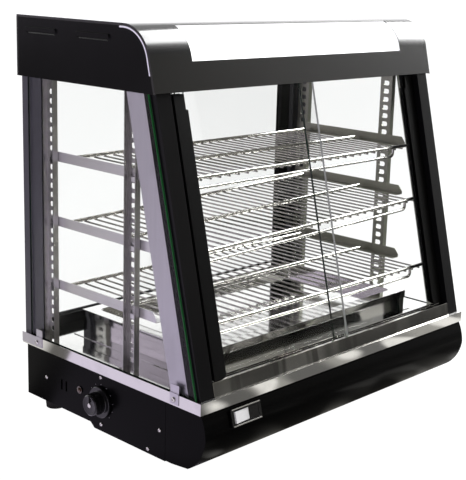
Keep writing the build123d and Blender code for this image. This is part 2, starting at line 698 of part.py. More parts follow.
# ---------------------------------------------------------------- build
def all_screws():
    """The pan-head screws of the outer panels and glass clips, and the foot screws."""
    screws = [foot_screw(x, y) for x, y in foot_places()]
    for side in (-1, 1):
        screws += [screw(side * SIDE_X, y, z, side) for y, z in SIDE_SCREWS]
    screws += [screw(side * (HALF_WIDTH + SHEET), y, 119, side, 3.8) for side, y in clip_screw_places()]
    return screws


def build_base():
    save("base_pan", base_pan())
    save("left_side_panel", left_side_panel())
    save("right_side_panel", mirrored(base_side_panel()))
    save("rear_panel", rear_panel())
    save("front_apron", front_apron())
    save("deck_plate", deck_plate())
    feet = [rubber_foot(x, y) for x, y in foot_places()]
    save("rubber_feet", *feet)
    save("cable_gland", cable_gland())
    save("terminal_block", terminal_block())


def build_frame():
    save("front_bottom_track", track(leaning, TRACK_TOP))
    save("rear_bottom_track", track(standing, 146.0))
    save("front_top_track", top_track(leaning))
    save("rear_top_track", top_track(standing))
    for name, maker in (("front", front_post), ("rear", rear_post)):
        save(name + "_right_post", maker())
        save(name + "_left_post", mirrored(maker()))
    save("right_inner_frame", inner_frame())
    save("left_inner_frame", mirrored(inner_frame()))
    save("right_side_glass", side_glass())
    save("left_side_glass", mirrored(side_glass()))
    front_clip = glass_clip(-166, -148, -166, -148, -156)
    rear_clip = glass_clip(161, DECK_REAR, 161, 177, 174)
    save("glass_clips", front_clip, rear_clip, mirrored(front_clip), mirrored(rear_clip))
    save("screws", *all_screws())


def build_shelves():
    for place, y in STANDARD_YS.items():
        save(place + "_right_standard", standard(y))
        save(place + "_left_standard", mirrored(standard(y)))
    for name, (left_row, right_row, front) in SHELVES.items():
        save(name + "_left_rail", mirrored(rail(left_row)))
        save(name + "_right_rail", rail(right_row))
        save(name + "_wire_shelf", placed_shelf(name))


def build_heat():
    save("heater_cover", heater_cover())
    save("water_pan", water_pan())
    save("heating_element", heating_element(), element_bush(-210), element_bush(210))
    save("thermostat", thermostat())
    save("thermostat_shaft", thermostat_shaft())
    save("thermostat_knob", thermostat_knob())
    save("indicator_lamp", indicator_lamp())
    save("light_switch_housing", switch_housing())
    save("light_switch_rocker", switch_rocker())


def build_light_box():
    save("top_cover", top_cover())
    save("left_end_panel", end_panel())
    save("right_end_panel", mirrored(end_panel()))
    save("sign_panel", sign_band(HALF_WIDTH, 4.4, 6.7))
    save("ceiling_panel", ceiling_panel())
    save("lamp_tube", lamp_tube())
    save("lamp_holders", lamp_holder(), mirrored(lamp_holder()))


os.makedirs("parts", exist_ok=True)
build_base()
build_frame()
build_shelves()
build_heat()
build_light_box()
door_pieces("front", leaning)
door_pieces("rear", standing, REAR_LEFT_GRIP_WIDTH)
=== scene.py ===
import json
import math

import bmesh
import bpy
from mathutils import Matrix, Vector

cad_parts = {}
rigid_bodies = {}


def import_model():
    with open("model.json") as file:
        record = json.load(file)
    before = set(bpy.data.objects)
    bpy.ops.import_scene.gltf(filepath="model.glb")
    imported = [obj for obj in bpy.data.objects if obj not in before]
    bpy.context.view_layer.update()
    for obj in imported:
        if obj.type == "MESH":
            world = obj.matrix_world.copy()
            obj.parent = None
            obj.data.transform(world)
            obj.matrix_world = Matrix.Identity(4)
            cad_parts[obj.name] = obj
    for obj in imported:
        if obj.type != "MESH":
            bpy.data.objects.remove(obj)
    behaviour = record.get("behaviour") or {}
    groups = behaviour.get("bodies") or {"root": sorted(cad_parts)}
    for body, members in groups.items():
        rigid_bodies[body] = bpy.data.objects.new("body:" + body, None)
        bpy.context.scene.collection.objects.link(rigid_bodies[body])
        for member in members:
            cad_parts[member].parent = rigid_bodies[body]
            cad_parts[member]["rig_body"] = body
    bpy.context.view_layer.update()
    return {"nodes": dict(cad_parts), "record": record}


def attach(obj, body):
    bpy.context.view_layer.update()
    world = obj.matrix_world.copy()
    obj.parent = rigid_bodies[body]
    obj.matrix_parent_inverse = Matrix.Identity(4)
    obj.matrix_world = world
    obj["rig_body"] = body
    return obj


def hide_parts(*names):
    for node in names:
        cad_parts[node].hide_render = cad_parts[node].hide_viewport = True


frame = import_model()

# Hot food display case. Metres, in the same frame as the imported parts.
# Sizes below that are measured from the middle of the deck are moved by MIDDLE.
MIDDLE = Vector((0.0092, 0.0024, 0.0))
LEAN = 0.2418                      # the slanted front goes back this much per unit of height
EDGE_ROUND = 0.00035               # softened edge of folded sheet
SMOOTH_ANGLE = math.radians(34)

NODES = frame["nodes"]
SLOT_OF = {row["node"]: row["material_slot"] for row in frame["record"]["subparts"]}


# ---------------------------------------------------------------- shader maths
class Number:
    """A value socket of a finish; calculating with it adds Math nodes."""

    def __init__(self, finish, socket):
        self.finish = finish
        self.socket = socket

    def math(self, operation, first, second=0.0):
        """One Math node."""
        node = self.finish.add("ShaderNodeMath", {"operation": operation}, {0: first, 1: second})
        return Number(self.finish, node.outputs[0])

    def __add__(self, other):
        return self.math("ADD", self, other)

    def __radd__(self, other):
        return self.math("ADD", other, self)

    def __sub__(self, other):
        return self.math("SUBTRACT", self, other)

    def __rsub__(self, other):
        return self.math("SUBTRACT", other, self)

    def __mul__(self, other):
        return self.math("MULTIPLY", self, other)

    def __rmul__(self, other):
        return self.math("MULTIPLY", other, self)

    def size(self):
        """The value without its sign."""
        return self.math("ABSOLUTE", self)


def darker(tint, share):
    """A colour at a share of its brightness."""
    return tuple(channel * share for channel in tint)


class Finish:
    """One surface finish: a node tree with a Principled shader and short ways to add to it."""

    def __init__(self, name, tree=None, **constants):
        self.shader = None
        if tree is None:
            self.material = bpy.data.materials.new(name)
            self.material.use_nodes = True
            tree = self.material.node_tree
        self.tree = tree
        self.tree.nodes.clear()
        if constants or hasattr(self, "material"):
            self.shader = self.add("ShaderNodeBsdfPrincipled", {}, {})
            for key, value in constants.items():
                self.shader.inputs[key.replace("_", " ")].default_value = value
            self.output = self.add("ShaderNodeOutputMaterial", {}, {
                "Surface": self.shader.outputs[0]})

    def add(self, kind, settings, inputs):
        """Any node: its settings are made first, then its sockets are valued or linked."""
        node = self.tree.nodes.new(kind)
        for key, value in settings.items():
            setattr(node, key, value)
        for key, value in inputs.items():
            self.give(node.inputs[key], value)
        return node

    def give(self, socket, value):
        """Links a value to a socket, or sets the socket where the value is constant."""
        if isinstance(value, Number):
            value = value.socket
        if isinstance(value, bpy.types.NodeSocket):
            self.tree.links.new(value, socket)
        else:
            socket.default_value = value

    def feed(self, **inputs):
        """Values or links for the Principled shader's own sockets."""
        for key, value in inputs.items():
            self.give(self.shader.inputs[key.replace("_", " ")], value)

    def place(self, scale=(1, 1, 1)):
        """Object coordinates, stretched."""
        where = self.add("ShaderNodeTexCoord", {}, {})
        mapping = self.add("ShaderNodeMapping", {}, {
            "Vector": where.outputs["Object"], "Scale": scale})
        return mapping.outputs[0]

    def axis(self, letter):
        """One Object coordinate, in metres."""
        where = self.add("ShaderNodeTexCoord", {}, {})
        parts = self.add("ShaderNodeSeparateXYZ", {}, {0: where.outputs["Object"]})
        return Number(self, parts.outputs["XYZ".index(letter)])

    def noise(self, scale, detail=3.0, rough=0.55, stretch=(1, 1, 1)):
        """Cloudy noise between 0 and 1."""
        node = self.add("ShaderNodeTexNoise", {}, {
            "Vector": self.place(stretch), "Scale": scale, "Detail": detail, "Roughness": rough})
        return Number(self, node.outputs["Fac"])

    def cells(self, scale):
        """A pattern of crystals: a distance and a colour for each cell."""
        return self.add("ShaderNodeTexVoronoi", {}, {"Vector": self.place(), "Scale": scale})

    def span(self, value, low, high, to_low=0.0, to_high=1.0):
        """Takes a value from one span to another, clamped."""
        node = self.add("ShaderNodeMapRange", {"clamp": True}, {
            "Value": value, "From Min": low, "From Max": high, "To Min": to_low, "To Max": to_high})
        return Number(self, node.outputs[0])

    def blend(self, factor, first, second):
        """Mixes two colours."""
        node = self.add("ShaderNodeMix", {"data_type": "RGBA"}, {})
        self.give(node.inputs[0], factor)
        for index, value in ((6, first), (7, second)):
            opaque = (*value, 1.0) if isinstance(value, tuple) else value
            self.give(node.inputs[index], opaque)
        return node.outputs[2]

    def bump(self, height, strength, distance):
        """A normal raised by height; distance is in metres."""
        node = self.add("ShaderNodeBump", {}, {
            "Height": height, "Strength": strength, "Distance": distance})
        return node.outputs[0]

    def whether_seen(self, otherwise, seen):
        """One shader for what the camera sees itself, and another for light and reflections."""
        path = self.add("ShaderNodeLightPath", {}, {})
        mix = self.add("ShaderNodeMixShader", {}, {
            0: path.outputs["Is Camera Ray"], 1: otherwise.outputs[0], 2: seen.outputs[0]})
        return mix.outputs[0]


# ---------------------------------------------------------------- finishes
def black_enamel(name="black_enamel", shine=0.10, coat=0.0, base=1.0):
    """Baked enamel: fine orange peel, soft cloudy gloss, and a few pale specks of dust."""
    finish = Finish(name, Specular_IOR_Level=shine, Coat_Weight=coat, Coat_Roughness=0.20,
                    Coat_IOR=1.5)
    cloud = finish.noise(9.0, 4.0)
    peel = finish.noise(900.0, 2.0)
    rub = finish.noise(60.0, 6.0, 0.7, (1, 1, 0.12))
    dust = finish.span(finish.noise(1500.0, 1.0), 0.73, 0.80)
    low, high = base * 0.0028, base * 0.0050
    colour = finish.blend(cloud, (low, low, low * 1.12), (high, high, high * 1.12))
    colour = finish.blend(dust * 0.3, colour, (0.05, 0.05, 0.055))
    finish.feed(Base_Color=colour)
    finish.feed(Roughness=0.20 + cloud * 0.07 + finish.span(rub, 0.58, 0.85, 0.0, 0.06))
    finish.feed(Normal=finish.bump(peel, 0.05, 0.00004))
    return finish.material


def brushed_steel(name, grain, tint=(0.60, 0.585, 0.63), gloss=0.30):
    """Brushed stainless: long fine scratches along the sheet, with darker handling marks."""
    finish = Finish(name, Metallic=1.0)
    line = finish.noise(700.0, 3.0, 0.6, grain)
    long_line = finish.noise(160.0, 2.0, 0.5, grain)
    mark = finish.noise(14.0, 4.0)
    colour = finish.blend(line * 0.6 + long_line * 0.4, darker(tint, 0.74), tint)
    colour = finish.blend(finish.span(mark, 0.58, 0.75) * 0.35, colour, darker(tint, 0.6))
    finish.feed(Base_Color=colour)
    finish.feed(Roughness=gloss + line * 0.12 + finish.span(mark, 0.5, 0.8) * 0.08)
    finish.feed(Normal=finish.bump(line, 0.18, 0.00008))
    return finish.material


def polished_steel(name="polished_steel", tint=(0.71, 0.705, 0.69), gloss=0.07, painted_reflection=0.0):
    """Mirror sheet: slow waves from folding, hairline wipes, dull smears, and if asked, dark bands
    and lines of painted reflection.
    """
    finish = Finish(name, Metallic=1.0)
    wave = finish.noise(7.0, 1.5, 0.4)
    wipe = finish.noise(420.0, 3.0, 0.6, (0.06, 1, 1))
    smear = finish.noise(22.0, 5.0, 0.6)
    colour = finish.blend(finish.span(smear, 0.5, 0.8) * 0.4, tint, darker(tint, 0.72))
    if painted_reflection:
        # Painted reflection: dark bands and thin dark lines laid into the colour.
        reflection_band = finish.span(finish.noise(12.0, 2.0, 0.5, (1, 0.2, 0.2)), 0.44, 0.58)
        line = finish.span(finish.noise(75.0, 0.0, 0.5, (1, 0.05, 0.05)), 0.62, 0.70)
        colour = finish.blend(reflection_band * painted_reflection, colour, darker(tint, 0.40))
        colour = finish.blend(line * painted_reflection, colour, darker(tint, 0.40))
    finish.feed(Base_Color=colour)
    finish.feed(Roughness=gloss + finish.span(wipe, 0.55, 0.8) * 0.025
                + finish.span(smear, 0.5, 0.8) * 0.05)
    finish.feed(Normal=finish.bump(wave, 0.10, 0.003))
    return finish.material


def shelf_chrome():
    """Chrome wire with slightly browned patches scattered over it."""
    finish = Finish("shelf_chrome", Metallic=1.0)
    patch = finish.noise(45.0, 4.0)
    pit = finish.noise(1400.0, 2.0)
    brown = finish.span(patch, 0.52, 0.72) * 0.55
    colour = finish.blend(brown, (0.70, 0.69, 0.66), (0.36, 0.34, 0.30))
    finish.feed(Base_Color=colour)
    finish.feed(Roughness=0.09 + patch * 0.10)
    finish.feed(Normal=finish.bump(pit, 0.08, 0.00006))
    return finish.material


def galvanised():
    """Zinc-coated sheet with its crystal pattern."""
    finish = Finish("galvanised", Metallic=1.0)
    crystal = finish.cells(70.0)
    shade = finish.span(Number(finish, crystal.outputs["Distance"]), 0.0, 0.9)
    facet = finish.add("ShaderNodeSeparateColor", {}, {0: crystal.outputs["Color"]})
    tone = Number(finish, facet.outputs[0])
    finish.feed(Base_Color=finish.blend(tone, (0.30, 0.31, 0.32), (0.52, 0.53, 0.54)))
    finish.feed(Roughness=0.32 + tone * 0.2)
    finish.feed(Normal=finish.bump(shade, 0.06, 0.0002))
    return finish.material


def clear_glass():
    """Clear toughened glass: mostly see-through, glossy at a slant, with wipe marks."""
    finish = Finish("clear_glass", Base_Color=(0.0, 0.002, 0.001, 1.0), Roughness=0.03,
                    Specular_IOR_Level=0.9)
    smear = finish.noise(10.0, 5.0, 0.65, (1, 1, 2.5))
    streak = finish.noise(55.0, 3.0, 0.6, (1, 1, 0.10))
    see = finish.add("ShaderNodeBsdfTransparent", {}, {"Color": (0.996, 0.999, 0.997, 1.0)})
    slant = finish.add("ShaderNodeFresnel", {}, {"IOR": 1.45})
    gloss = Number(finish, slant.outputs[0]) * 0.11
    haze = finish.span(smear * streak, 0.30, 0.55) * 0.006
    finish.feed(Roughness=0.02 + finish.span(smear, 0.45, 0.8) * 0.05)
    mix = finish.add("ShaderNodeMixShader", {}, {
        0: gloss + haze, 1: see.outputs[0], 2: finish.shader.outputs[0]})
    finish.tree.links.new(mix.outputs[0], finish.output.inputs["Surface"])
    return finish.material


def glass_edge():
    """Ground glass edge: deep green with finely ground tooth."""
    finish = Finish("glass_edge", Specular_IOR_Level=0.6)
    tooth = finish.noise(1300.0, 2.0)
    depth = finish.noise(25.0, 3.0, 0.5, (1, 1, 0.2))
    finish.feed(Base_Color=finish.blend(depth, (0.014, 0.16, 0.035), (0.035, 0.27, 0.075)))
    finish.feed(Roughness=0.16 + tooth * 0.12)
    finish.feed(Normal=finish.bump(tooth, 0.1, 0.0001))
    return finish.material


def polished_glass_edge():
    """Polished edges of the right doors and side panes: nearly black-green, seen end on."""
    finish = Finish("polished_glass_edge", Specular_IOR_Level=0.6)
    depth = finish.noise(30.0, 3.0, 0.5, (1, 1, 0.2))
    finish.feed(Base_Color=finish.blend(depth, (0.006, 0.014, 0.009), (0.020, 0.042, 0.028)))
    finish.feed(Roughness=0.10 + depth * 0.08)
    return finish.material


def pale_glass_edge():
    """Edges of the left doors' panes, which catch the light: painted pale, with a faint painted
    glow standing in for that light.
    """
    finish = Finish("pale_glass_edge", Specular_IOR_Level=0.6, Emission_Strength=0.06)
    # Painted highlight: the faint glow's colour varies in soft patches.
    painted_glint = finish.noise(8.0, 1.0)
    finish.feed(Emission_Color=finish.blend(painted_glint, (0.70, 0.72, 0.70), (0.9, 0.92, 0.9)))
    depth = finish.noise(30.0, 3.0, 0.5, (1, 1, 0.2))
    finish.feed(Base_Color=finish.blend(depth, (0.50, 0.52, 0.50), (0.66, 0.69, 0.66)))
    finish.feed(Roughness=0.10 + depth * 0.08)
    return finish.material


def lit_acrylic():
    """Opal acrylic lit from behind by the tube: cooler towards its ends, dark on the cut ends."""
    finish = Finish("lit_acrylic", Roughness=0.12, Emission_Strength=1.15)
    across = (finish.axis("X") - MIDDLE.x).size()
    along = finish.span(across, 0.20, 0.32)
    tip = finish.span(across, 0.3285, 0.3295)
    mottle = finish.noise(35.0, 3.0)
    glow = finish.blend(along, (1.0, 1.0, 1.0), (0.93, 0.94, 0.97))
    glow = finish.blend(mottle * 0.04, glow, (0.90, 0.92, 0.97))
    glow = finish.blend(tip, glow, (0.16, 0.15, 0.20))
    finish.feed(Base_Color=finish.blend(mottle, (0.86, 0.87, 0.88), (0.90, 0.90, 0.91)))
    finish.feed(Emission_Color=glow)
    return finish.material


def moulded_black(name="moulded_black", base=0.008, gloss=0.30, grain=0.22, shine=0.45):
    """Moulded plastic with a fine spark-eroded grain and paler rubbed patches."""
    finish = Finish(name, Specular_IOR_Level=shine)
    leather = finish.noise(1100.0, 4.0, 0.7)
    rub = finish.span(finish.noise(28.0, 5.0), 0.55, 0.8)
    plain, rubbed = (base, base, base * 1.05), (base * 2.6, base * 2.6, base * 2.7)
    finish.feed(Base_Color=finish.blend(rub * 0.5, plain, rubbed))
    finish.feed(Roughness=gloss + leather * 0.12 - rub * 0.06)
    finish.feed(Normal=finish.bump(leather, grain, 0.0001))
    return finish.material


def foot_rubber():
    """Black rubber, dusty and slightly greyed."""
    finish = Finish("foot_rubber", Specular_IOR_Level=0.3)
    bloom = finish.noise(120.0, 5.0, 0.7)
    finish.feed(Base_Color=finish.blend(bloom, (0.010, 0.010, 0.010), (0.035, 0.034, 0.032)))
    finish.feed(Roughness=0.62 + bloom * 0.2)
    finish.feed(Normal=finish.bump(bloom, 0.2, 0.0002))
    return finish.material


def zinc_plate():
    """Bright zinc on screws, with tool marks."""
    finish = Finish("zinc_plate", Metallic=1.0)
    mark = finish.noise(900.0, 3.0)
    dull = finish.noise(150.0, 3.0)
    finish.feed(Base_Color=finish.blend(dull, (0.50, 0.49, 0.46), (0.80, 0.79, 0.76)))
    finish.feed(Roughness=0.16 + mark * 0.16)
    finish.feed(Normal=finish.bump(mark, 0.1, 0.0001))
    return finish.material


def lamp_lens():
    """Dim amber lens over a neon lamp, with moulded rings."""
    finish = Finish("lamp_lens", Coat_Weight=0.6, Specular_IOR_Level=0.6)
    ring = finish.noise(500.0, 2.0)
    deep = finish.noise(200.0, 2.0)
    finish.feed(Base_Color=finish.blend(deep, (0.035, 0.016, 0.007), (0.085, 0.040, 0.018)))
    finish.feed(Roughness=0.15 + ring * 0.10)
    finish.feed(Normal=finish.bump(ring, 0.15, 0.0002))
    return finish.material


def milky_plastic(name="milky_plastic", tone=(0.80, 0.80, 0.79), strength=0.0):
    """White moulded plastic, a little cloudy."""
    finish = Finish(name, Specular_IOR_Level=0.5, Emission_Strength=strength)
    cloud = finish.noise(180.0, 3.0)
    finish.feed(Base_Color=finish.blend(cloud, darker(tone, 0.86), tone))
    finish.feed(Roughness=0.22 + cloud * 0.16)
    finish.feed(Emission_Color=finish.blend(cloud, (0.9, 0.9, 0.9), (1.0, 1.0, 1.0)))
    finish.feed(Normal=finish.bump(cloud, 0.05, 0.0002))
    return finish.material


def heated_steel():
    """Sheathed element, blued and browned by heat."""
    finish = Finish("heated_steel", Metallic=1.0)
    heat = finish.noise(18.0, 4.0)
    scale_marks = finish.noise(600.0, 4.0)
    colour = finish.blend(heat, (0.30, 0.22, 0.14), (0.24, 0.25, 0.33))
    finish.feed(Base_Color=finish.blend(scale_marks * 0.5, colour, (0.10, 0.09, 0.08)))
    finish.feed(Roughness=0.35 + scale_marks * 0.25)
    finish.feed(Normal=finish.bump(scale_marks, 0.2, 0.0002))
    return finish.material


# Grain directions: noise stretched along an axis.
ALONG_Y = (1, 0.015, 1)
ALONG_Z = (1, 1, 0.015)
ENAMEL = black_enamel()
COVER_ENAMEL = black_enamel("cover_enamel", 0.06, 1.0, 0.8)
BASE_ENAMEL = black_enamel("base_enamel", 0.045, 0.0, 0.35)
POST_ENAMEL = black_enamel("post_enamel", 0.12, 0.0, 1.6)
GREY_ENAMEL = black_enamel("grey_enamel", 0.16, 0.0, 26.0)
STEEL_Z = brushed_steel("brushed_steel_upright", ALONG_Z)
# Copies of one brushed steel with painted light and shade in their tints: lightened for the near
# pieces, darkened for the far pieces and, less, for the front left standard.
STANDARD_STEEL = brushed_steel("standard_steel", ALONG_Z, (0.50, 0.49, 0.48), 0.22)
STANDARD_STEEL_PAINTED_LIT = brushed_steel("pale_steel", ALONG_Z, (0.74, 0.73, 0.72), 0.24)
RAIL_STEEL_PAINTED_LIT = brushed_steel("near_rail_steel", ALONG_Y, (0.80, 0.79, 0.80), 0.26)
RAIL_STEEL_PAINTED_SHADE = brushed_steel("far_rail_steel", ALONG_Y, (0.36, 0.37, 0.30), 0.26)
STANDARD_STEEL_PAINTED_SHADE = brushed_steel("far_standard_steel", ALONG_Z, (0.34, 0.35, 0.29), 0.26)
FRAME_STEEL_PAINTED_SHADE = brushed_steel("far_frame_steel", ALONG_Z, (0.33, 0.34, 0.31), 0.30)
MIRROR = polished_steel()
# Sill steel carrying painted reflection: dark bands and lines in its colour.
SILL_STEEL_PAINTED_REFLECTION = polished_steel("sill_steel", (0.95, 0.93, 0.88), 0.06, 0.85)
CHROME = shelf_chrome()
ZINC_SHEET = galvanised()
GLASS = clear_glass()
GLASS_EDGE = glass_edge()
CLEAN_EDGE = polished_glass_edge()
# Glass edges painted pale and faintly glowing: painted light.
PAINTED_LIT_EDGE = pale_glass_edge()
ACRYLIC = lit_acrylic()
BLACK_PLASTIC = moulded_black()
GRIP_BLACK = moulded_black("grip_black", 0.0028, 0.40, 0.22, 0.08)
GLOSS_PLASTIC = moulded_black("gloss_black_plastic", 0.007, 0.14, 0.06)
RUBBER = foot_rubber()
ZINC = zinc_plate()
LENS = lamp_lens()
FROSTED = milky_plastic("frosted_tube", (0.92, 0.92, 0.90), 0.8)
WHITE_PLASTIC = milky_plastic()
PRINT_GREY = milky_plastic("print_grey", (0.16, 0.16, 0.16))
CLEAR_KEY = milky_plastic("clear_key", (0.84, 0.84, 0.86), 0.12)
HEATED = heated_steel()

FINISH_OF_SLOT = {
    "black_enamel": ENAMEL,
    "stainless": STEEL_Z,
    "polished_stainless": MIRROR,
    "shelf_chrome": CHROME,
    "galvanised": ZINC_SHEET,
    "glass": GLASS,
    "sign_acrylic": ACRYLIC,
    "black_plastic": BLACK_PLASTIC,
    "black_rubber": RUBBER,
    "zinc_screw": ZINC,
    "amber_lens": LENS,
    "lamp_glass": FROSTED,
    "white_plastic": WHITE_PLASTIC,
    "element_steel": HEATED,
}


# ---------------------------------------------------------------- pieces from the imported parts
def merged_copy(node):
    """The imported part's mesh as joined, flat-faced geometry to work on."""
    source = NODES[node].data.copy()
    if "custom_normal" in source.attributes:
        source.attributes.remove(source.attributes["custom_normal"])
    work = bmesh.new()
    work.from_mesh(source)
    bpy.data.meshes.remove(source)
    bmesh.ops.remove_doubles(work, verts=work.verts, dist=2e-6)
    bmesh.ops.dissolve_limit(work, angle_limit=math.radians(0.3),
                             verts=work.verts, edges=work.edges)
    return work


def folds(work, least=30.0):
    """The edges where two faces meet at a clear angle."""
    found = []
    for edge in work.edges:
        if len(edge.link_faces) == 2 and edge.calc_face_angle(0.0) > math.radians(least):
            found.append(edge)
    return found


def soften(work, edges, amount, steps=2):
    """Rounds the edges given."""
    bmesh.ops.bevel(work, geom=edges, offset=amount, segments=steps, profile=0.5,
                    affect="EDGES", clamp_overlap=True)


def flats_stay_flat(piece):
    """Weights the shading by face size, so a rounded edge doesn't shade the flat next to it."""
    weighting = piece.modifiers.new("flats", "WEIGHTED_NORMAL")
    weighting.weight = 100
    weighting.keep_sharp = True
    bpy.context.view_layer.update()
    graph = bpy.context.evaluated_depsgraph_get()
    plain = piece.data
    piece.data = bpy.data.meshes.new_from_object(piece.evaluated_get(graph), depsgraph=graph)
    piece.modifiers.clear()
    bpy.data.meshes.remove(plain)
    piece.data.name = piece.name


def finished(work, name, materials, node=None, body=None):
    """Turns a worked mesh into a piece that rides on its body and stands for its part."""
    mesh = bpy.data.meshes.new(name)
    work.to_mesh(mesh)
    work.free()
    for material in materials:
        mesh.materials.append(material)
    mesh.shade_smooth()
    mesh.set_sharp_from_angle(angle=SMOOTH_ANGLE)
    piece = bpy.data.objects.new(name, mesh)
    bpy.context.scene.collection.objects.link(piece)
    flats_stay_flat(piece)
    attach(piece, body or NODES[node]["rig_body"])
    if node:
        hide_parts(node)
    return piece


def sheet_piece(node, material=None, amount=EDGE_ROUND, steps=2):
    """A part as it is, with softened edges and its finish."""
    work = merged_copy(node)
    if amount:
        soften(work, folds(work), amount, steps)
    return finished(work, node + "_piece", [material or FINISH_OF_SLOT[SLOT_OF[node]]], node)


def glass_piece(node, across, ground_front=False):
    """A pane: see-through faces, and on the side panes a front edge ground green."""
    work = merged_copy(node)
    soften(work, folds(work), 0.0006, 1)
    across = Vector(across).normalized()
    for face in work.faces:
        ground = ground_front and face.normal.y < -0.5
        face.material_index = 0 if abs(face.normal.dot(across)) > 0.94 else 1 if ground else 2
    # The left doors' pane edges take painted light: pale, with a faint painted glow.
    plain_edge = PAINTED_LIT_EDGE if "left_door" in node else CLEAN_EDGE
    return finished(work, node + "_piece", [GLASS, GLASS_EDGE, plain_edge], node)


# ---------------------------------------------------------------- pieces made here
def lathe(work, profile, origin, steps=48, material_index=0):
    """Turns (radius, x) points about a line along X through origin; ends at radius 0 close."""
    rings = []
    for radius, x in profile:
        if radius == 0.0:
            rings.append([work.verts.new((x, origin[0], origin[1]))])
            continue
        ring = []
        for step in range(steps):
            angle = 2 * math.pi * step / steps
            ring.append(work.verts.new((x, origin[0] + radius * math.cos(angle),
                                        origin[1] + radius * math.sin(angle))))
        rings.append(ring)
    for near, far in zip(rings, rings[1:]):
        for step in range(steps):
            after = (step + 1) % steps
            if len(near) == 1:
                corners = (near[0], far[step], far[after])
            elif len(far) == 1:
                corners = (near[step], far[0], near[after])
            else:
                corners = (near[step], far[step], far[after], near[after])
            face = work.faces.new(corners)
            face.material_index = material_index


def outward(work):
    """Turns every face outwards."""
    bmesh.ops.recalc_face_normals(work, faces=work.faces)


def rounded_block(work, low, high, amount, steps=2, material_index=0):
    """A block with rounded edges."""
    made = bmesh.ops.create_cube(work, size=1.0)
    low, high = Vector(low), Vector(high)
    for vertex in made["verts"]:
        share = vertex.co + Vector((0.5, 0.5, 0.5))
        vertex.co = low + Vector(share[i] * (high[i] - low[i]) for i in range(3))
    edges = list({edge for vertex in made["verts"] for edge in vertex.link_edges})
    faces = {face for vertex in made["verts"] for face in vertex.link_faces}
    for face in faces:
        face.material_index = material_index
    bevelled = bmesh.ops.bevel(work, geom=edges, offset=amount, segments=steps, profile=0.5,
                               affect="EDGES")
    for face in bevelled["faces"]:
        face.material_index = material_index


def template(name, build):
    """An unlinked object that the node trees repeat."""
    work = bmesh.new()
    build(work)
    outward(work)
    mesh = bpy.data.meshes.new(name)
    work.to_mesh(mesh)
    work.free()
    mesh.shade_smooth()
    mesh.set_sharp_from_angle(angle=SMOOTH_ANGLE)
    return bpy.data.objects.new(name, mesh)


def repeated(name, shape, places, material, body, scale=1.0, spin=0.0, seed=3, replaced=()):
    """Geometry Nodes put a copy of shape at each (point, facing) pair, turned by up to spin."""
    points = bpy.data.meshes.new(name + "_points")
    points.from_pydata([tuple(point) for point, facing in places], [], [])
    facing = points.attributes.new("facing", "FLOAT_VECTOR", "POINT")
    facing.data.foreach_set(
        "vector", [value for point, way in places for value in Vector(way).normalized()])
    carrier = bpy.data.objects.new(name + "_carrier", points)
    bpy.context.scene.collection.objects.link(carrier)
    tree = bpy.data.node_groups.new(name, "GeometryNodeTree")
    sockets = {}
    for label, kind in (("Points", "Geometry"), ("Shape", "Object"), ("Scale", "Float"),
                        ("Spin", "Float"), ("Seed", "Int")):
        sockets[label] = tree.interface.new_socket(
            label, in_out="INPUT", socket_type="NodeSocket" + kind).identifier
    tree.interface.new_socket("Geometry", in_out="OUTPUT", socket_type="NodeSocketGeometry")

    def node(kind, **settings):
        made = tree.nodes.new(kind)
        for key, value in settings.items():
            setattr(made, key, value)
        return made

    link = tree.links.new
    group_in, group_out = node("NodeGroupInput"), node("NodeGroupOutput")
    direction = node("GeometryNodeInputNamedAttribute", data_type="FLOAT_VECTOR")
    direction.inputs["Name"].default_value = "facing"
    align = node("FunctionNodeAlignRotationToVector", axis="Z")
    link(direction.outputs[0], align.inputs["Vector"])
    chance = node("FunctionNodeRandomValue", data_type="FLOAT")
    link(group_in.outputs["Spin"], chance.inputs[3])
    link(group_in.outputs["Seed"], chance.inputs["Seed"])
    about = node("FunctionNodeAxisAngleToRotation")
    about.inputs["Axis"].default_value = (0, 0, 1)
    link(chance.outputs[1], about.inputs["Angle"])
    turn = node("FunctionNodeRotateRotation", rotation_space="LOCAL")
    link(align.outputs[0], turn.inputs[0])
    link(about.outputs[0], turn.inputs[1])
    info = node("GeometryNodeObjectInfo")
    link(group_in.outputs["Shape"], info.inputs["Object"])
    copies = node("GeometryNodeInstanceOnPoints")
    link(group_in.outputs["Points"], copies.inputs["Points"])
    link(info.outputs["Geometry"], copies.inputs["Instance"])
    link(turn.outputs[0], copies.inputs["Rotation"])
    link(group_in.outputs["Scale"], copies.inputs["Scale"])
    real = node("GeometryNodeRealizeInstances")
    link(copies.outputs[0], real.inputs[0])
    paint = node("GeometryNodeSetMaterial")
    paint.inputs["Material"].default_value = material
    link(real.outputs[0], paint.inputs[0])
    link(paint.outputs[0], group_out.inputs[0])
    modifier = carrier.modifiers.new("repeat", "NODES")
    modifier.node_group = tree
    for label, value in (("Shape", shape), ("Scale", scale), ("Spin", spin), ("Seed", seed)):
        modifier[sockets[label]] = value
    bpy.context.view_layer.update()
    graph = bpy.context.evaluated_depsgraph_get()
    mesh = bpy.data.meshes.new_from_object(carrier.evaluated_get(graph), depsgraph=graph)
    bpy.data.objects.remove(carrier)
    mesh.name = name
    piece = bpy.data.objects.new(name, mesh)
    bpy.context.scene.collection.objects.link(piece)
    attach(piece, body)
    if replaced:
        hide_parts(*replaced)
    return piece


def mm(x, y, z):
    """A point given in millimetres from the middle of the deck, on the counter."""
    return Vector((x, y, z)) / 1000 + MIDDLE


